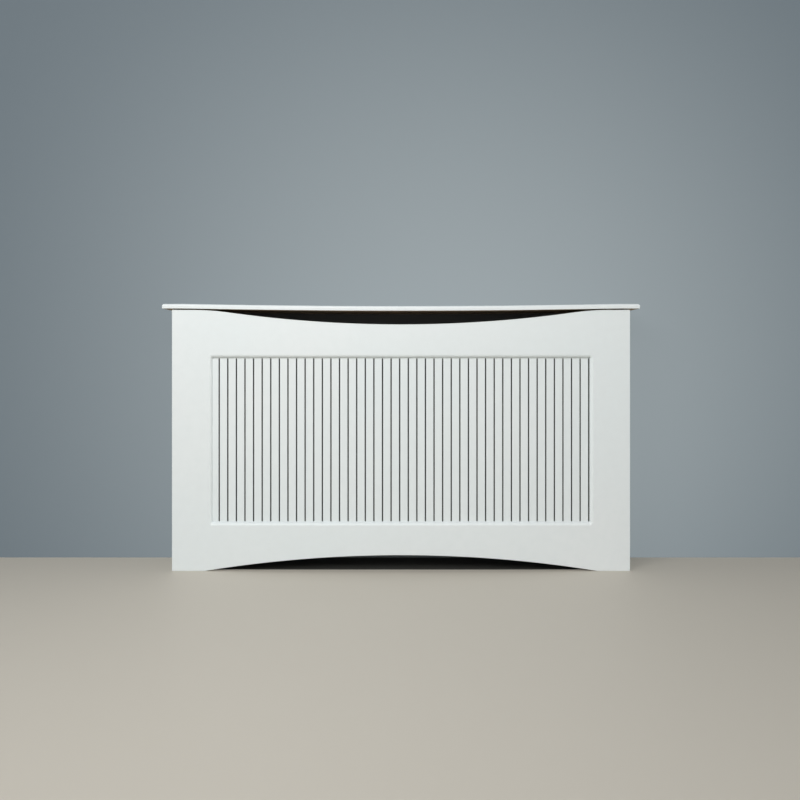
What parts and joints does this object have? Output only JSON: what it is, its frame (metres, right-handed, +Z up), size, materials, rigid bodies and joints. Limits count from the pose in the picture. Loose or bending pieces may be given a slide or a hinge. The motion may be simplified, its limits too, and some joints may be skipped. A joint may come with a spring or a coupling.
{
  "type": "radiator cover cabinet",
  "caption": "Painted board cabinet that stands over a radiator: slotted grille behind a framed opening, scooped warm air gap under a moulded shelf, arched foot, open back and base.",
  "frame": {"origin": "on the floor, midway between the shelf's ends and midway between the shelf's front edge and the wall", "axes": "+X along the wall, to the right seen from the front; +Y towards the wall, so that the grille faces -Y; +Z up"},
  "size_m": [1.607, 0.2, 0.9],
  "materials": {
    "board_paint": "white satin paint on medium density fibreboard",
    "grille_paint": "white satin paint on thin fibreboard sheet",
    "softwood": "planed softwood, unpainted",
    "bracket_zinc": "zinc plated bent steel",
    "screw_zinc": "zinc plated steel screw"
  },
  "bodies": {
    "root": {"top_shelf": "board_paint", "front_panel": "board_paint", "grille_panel": "grille_paint", "side_panel_left": "board_paint", "side_panel_right": "board_paint", "corner_batten_left": "softwood", "corner_batten_right": "softwood", "shelf_cleat_left": "softwood", "shelf_cleat_right": "softwood", "wall_bracket_left_upper": "bracket_zinc", "wall_bracket_left_lower": "bracket_zinc", "wall_bracket_right_upper": "bracket_zinc", "wall_bracket_right_lower": "bracket_zinc", "batten_front_screw_left_1": "screw_zinc", "batten_front_screw_left_2": "screw_zinc", "batten_front_screw_left_3": "screw_zinc", "batten_front_screw_right_1": "screw_zinc", "batten_front_screw_right_2": "screw_zinc", "batten_front_screw_right_3": "screw_zinc", "batten_side_screw_left_1": "screw_zinc", "batten_side_screw_left_2": "screw_zinc", "batten_side_screw_left_3": "screw_zinc", "batten_side_screw_right_1": "screw_zinc", "batten_side_screw_right_2": "screw_zinc", "batten_side_screw_right_3": "screw_zinc", "bracket_screw_left_lower_1": "screw_zinc", "bracket_screw_left_lower_2": "screw_zinc", "bracket_screw_left_upper_1": "screw_zinc", "bracket_screw_left_upper_2": "screw_zinc", "bracket_screw_right_lower_1": "screw_zinc", "bracket_screw_right_lower_2": "screw_zinc", "bracket_screw_right_upper_1": "screw_zinc", "bracket_screw_right_upper_2": "screw_zinc", "cleat_shelf_screw_left_1": "screw_zinc", "cleat_shelf_screw_left_2": "screw_zinc", "cleat_shelf_screw_right_1": "screw_zinc", "cleat_shelf_screw_right_2": "screw_zinc", "cleat_side_screw_left_1": "screw_zinc", "cleat_side_screw_left_2": "screw_zinc", "cleat_side_screw_right_1": "screw_zinc", "cleat_side_screw_right_2": "screw_zinc", "grille_screw_01": "screw_zinc", "grille_screw_02": "screw_zinc", "grille_screw_03": "screw_zinc", "grille_screw_04": "screw_zinc", "grille_screw_05": "screw_zinc", "grille_screw_06": "screw_zinc", "grille_screw_07": "screw_zinc", "grille_screw_08": "screw_zinc", "grille_screw_09": "screw_zinc", "grille_screw_10": "screw_zinc", "grille_screw_11": "screw_zinc", "grille_screw_12": "screw_zinc"}
  },
  "joints": []
}
